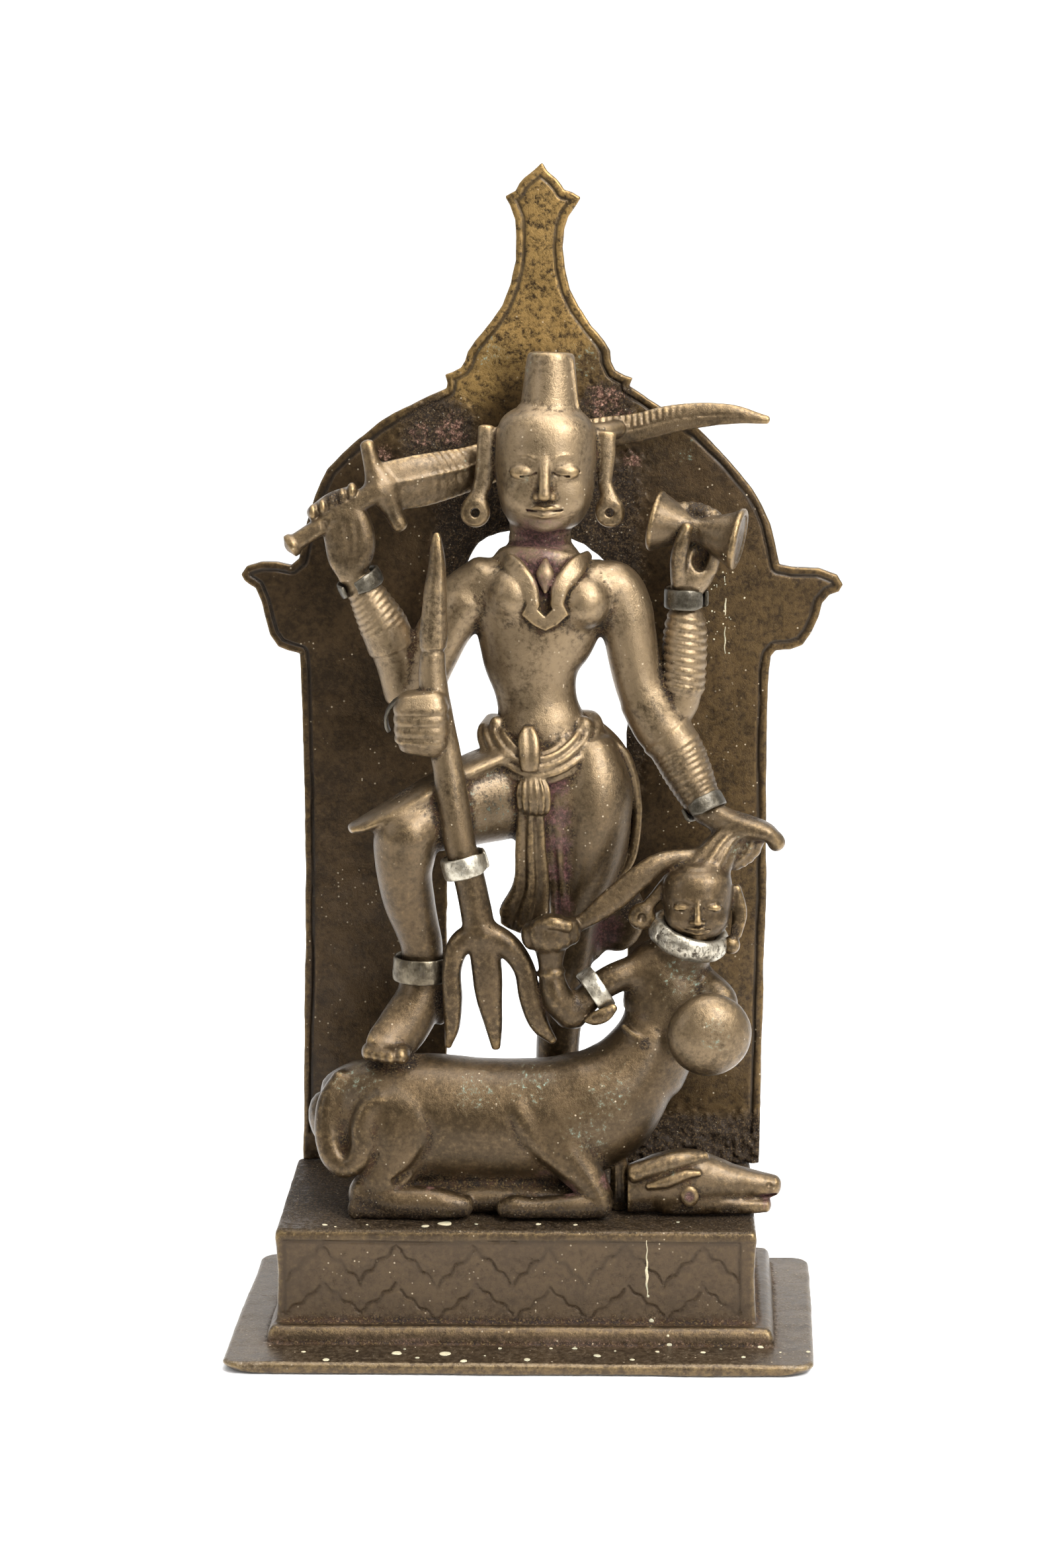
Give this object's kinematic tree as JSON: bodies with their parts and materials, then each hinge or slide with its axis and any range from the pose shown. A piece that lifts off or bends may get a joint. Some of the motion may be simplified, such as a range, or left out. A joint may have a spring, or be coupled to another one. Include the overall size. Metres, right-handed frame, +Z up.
{
  "type": "durga figure",
  "caption": "Small cast bronze shrine image of the goddess Durga slaying the buffalo demon, before a pierced arched plate on a stepped pedestal.",
  "frame": {"origin": "middle of the rectangle that the whole object covers, on the surface that it stands on", "axes": "+Z up along the object's height; the goddess faces -Y; +X towards the right hand of a viewer who looks along +Y"},
  "size_m": [0.1286, 0.07, 0.2385],
  "materials": {
    "pedestal_bronze": "dark brown patina, bare brass on the worn arrises, white specks of old paint",
    "plate_bronze": "dark brown patina with a rough crust of dirt behind the figure, golden brown finial",
    "figure_bronze": "olive bronze patina, rubbed on the high places, red-brown dirt in the hollows",
    "dark_bands": "tarnished white metal, bent strip",
    "silver_bands": "silver-coloured bent strip, rubbed bright, dirt along its edges"
  },
  "bodies": {
    "root": {"pedestal": "pedestal_bronze", "back_plate": "plate_bronze", "goddess_demon_and_buffalo": "figure_bronze", "severed_buffalo_head": "figure_bronze", "upper_right_wrist_bangle": "dark_bands", "lower_right_wrist_bangle": "dark_bands", "upper_left_wrist_bangle": "dark_bands", "lower_left_wrist_bangle": "dark_bands", "right_ankle_band": "silver_bands", "trident_collar": "silver_bands", "demon_torque": "silver_bands", "demon_armlet": "silver_bands"}
  },
  "joints": []
}
